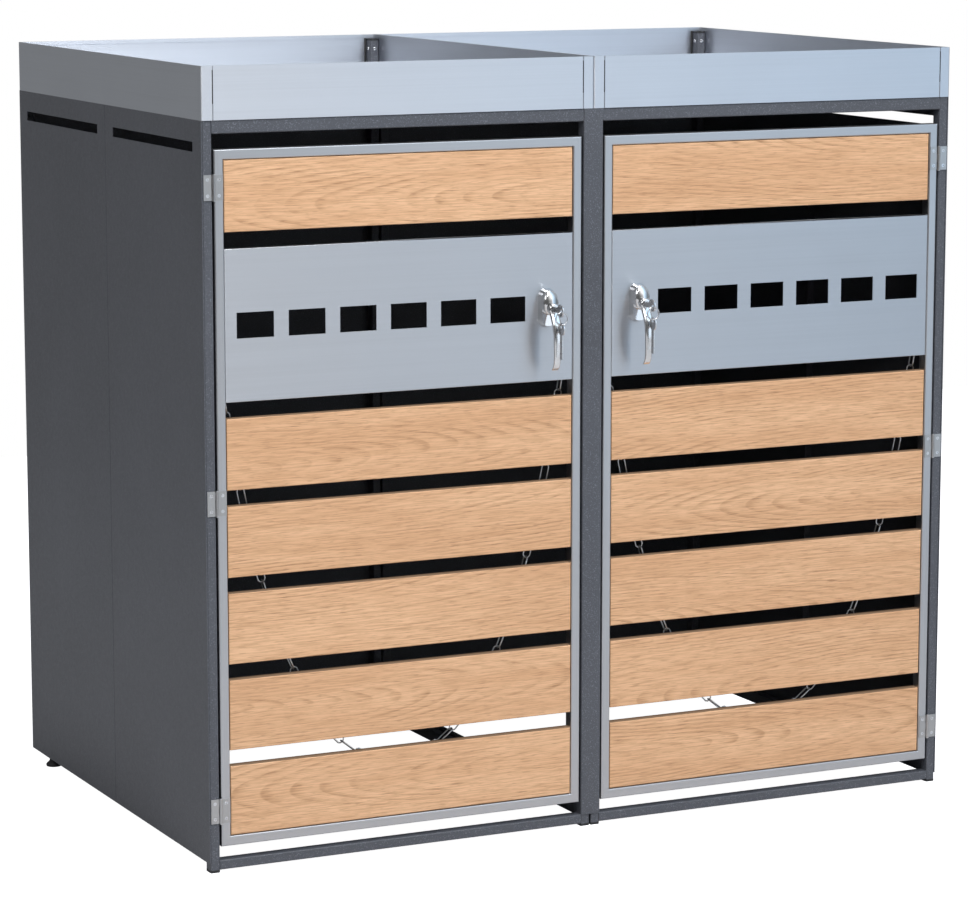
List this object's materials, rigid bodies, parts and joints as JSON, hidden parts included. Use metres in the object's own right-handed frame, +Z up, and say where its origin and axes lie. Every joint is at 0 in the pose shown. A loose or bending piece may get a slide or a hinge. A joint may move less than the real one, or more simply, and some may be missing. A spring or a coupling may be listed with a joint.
{
  "type": "bin store with planter",
  "caption": "Double bin store on a tube frame with sheet sides, hinged slatted doors with lever locks, and stainless planter troughs on top.",
  "frame": {"origin": "on the floor, under the middle of the whole box with its keys and back screws", "axes": "+X to the right, +Y to the back, +Z up; the doors face -Y"},
  "size_m": [1.308, 0.8884, 1.221],
  "materials": {
    "anthracite_coat": "fine textured powder coat, satin",
    "stainless_sheet": "brushed stainless sheet and tube",
    "oak_decor": "light oak decor, matt",
    "chrome": "polished chrome plating",
    "zinc_plate": "bright zinc plating",
    "hinge_steel": "plain stainless steel, satin",
    "black_plastic": "moulded black plastic"
  },
  "bodies": {
    "cabinet": {"back_screws": "zinc_plate", "hinge_pins_and_screws": "hinge_steel", "hinge_post_leaves": "hinge_steel", "joint_cover": "anthracite_coat", "left_back_panel": "anthracite_coat", "left_front_frame": "anthracite_coat", "left_planter_back": "stainless_sheet", "left_planter_front": "stainless_sheet", "left_planter_inner_wall": "stainless_sheet", "left_planter_outer_wall": "stainless_sheet", "left_planter_tray": "stainless_sheet", "left_rear_frame": "anthracite_coat", "left_side_panel_front": "anthracite_coat", "left_side_panel_rear": "anthracite_coat", "left_side_rails": "anthracite_coat", "module_bolts": "zinc_plate", "post_caps": "black_plastic", "post_feet": "black_plastic", "rear_glides": "black_plastic", "right_back_panel": "anthracite_coat", "right_front_frame": "anthracite_coat", "right_planter_back": "stainless_sheet", "right_planter_front": "stainless_sheet", "right_planter_inner_wall": "stainless_sheet", "right_planter_outer_wall": "stainless_sheet", "right_planter_tray": "stainless_sheet", "right_rear_frame": "anthracite_coat", "right_side_panel_front": "anthracite_coat", "right_side_panel_rear": "anthracite_coat", "right_side_rails": "anthracite_coat"},
    "left_door": {"left_door_frame": "stainless_sheet", "left_door_board_1": "oak_decor", "left_door_board_2": "oak_decor", "left_door_board_3": "oak_decor", "left_door_board_4": "oak_decor", "left_door_board_5": "oak_decor", "left_door_board_6": "oak_decor", "left_window_panel": "stainless_sheet", "left_lock_housing": "chrome", "left_door_hinge_leaves": "hinge_steel", "left_door_screws": "hinge_steel", "left_chain": "zinc_plate"},
    "left_lever": {"left_handle": "chrome", "left_lock_cam": "zinc_plate"},
    "left_key": {"left_keys": "zinc_plate"},
    "right_door": {"right_door_frame": "stainless_sheet", "right_door_board_1": "oak_decor", "right_door_board_2": "oak_decor", "right_door_board_3": "oak_decor", "right_door_board_4": "oak_decor", "right_door_board_5": "oak_decor", "right_door_board_6": "oak_decor", "right_window_panel": "stainless_sheet", "right_lock_housing": "chrome", "right_door_hinge_leaves": "hinge_steel", "right_door_screws": "hinge_steel", "right_chain": "zinc_plate"},
    "right_lever": {"right_handle": "chrome", "right_lock_cam": "zinc_plate"},
    "right_key": {"right_keys": "zinc_plate"}
  },
  "joints": [
    {"name": "left_door_hinge", "type": "hinge", "parent": "cabinet", "child": "left_door", "pos_m": [-0.632, -0.38545, 0.569], "axis": [0, 0, -1], "range_deg": [0, 175]},
    {"name": "left_lever_turn", "type": "hinge", "parent": "left_door", "child": "left_lever", "pos_m": [-0.08, -0.38295, 0.835], "axis": [0, 1, 0], "range_deg": [0, 90]},
    {"name": "left_key_turn", "type": "hinge", "parent": "left_lever", "child": "left_key", "pos_m": [-0.08, -0.38295, 0.835], "axis": [0, 1, 0], "range_deg": [0, 90]},
    {"name": "right_door_hinge", "type": "hinge", "parent": "cabinet", "child": "right_door", "pos_m": [0.632, -0.38545, 0.569], "axis": [0, 0, 1], "range_deg": [0, 175]},
    {"name": "right_lever_turn", "type": "hinge", "parent": "right_door", "child": "right_lever", "pos_m": [0.08, -0.38295, 0.835], "axis": [0, -1, 0], "range_deg": [0, 90]},
    {"name": "right_key_turn", "type": "hinge", "parent": "right_lever", "child": "right_key", "pos_m": [0.08, -0.38295, 0.835], "axis": [0, -1, 0], "range_deg": [0, 90]}
  ]
}
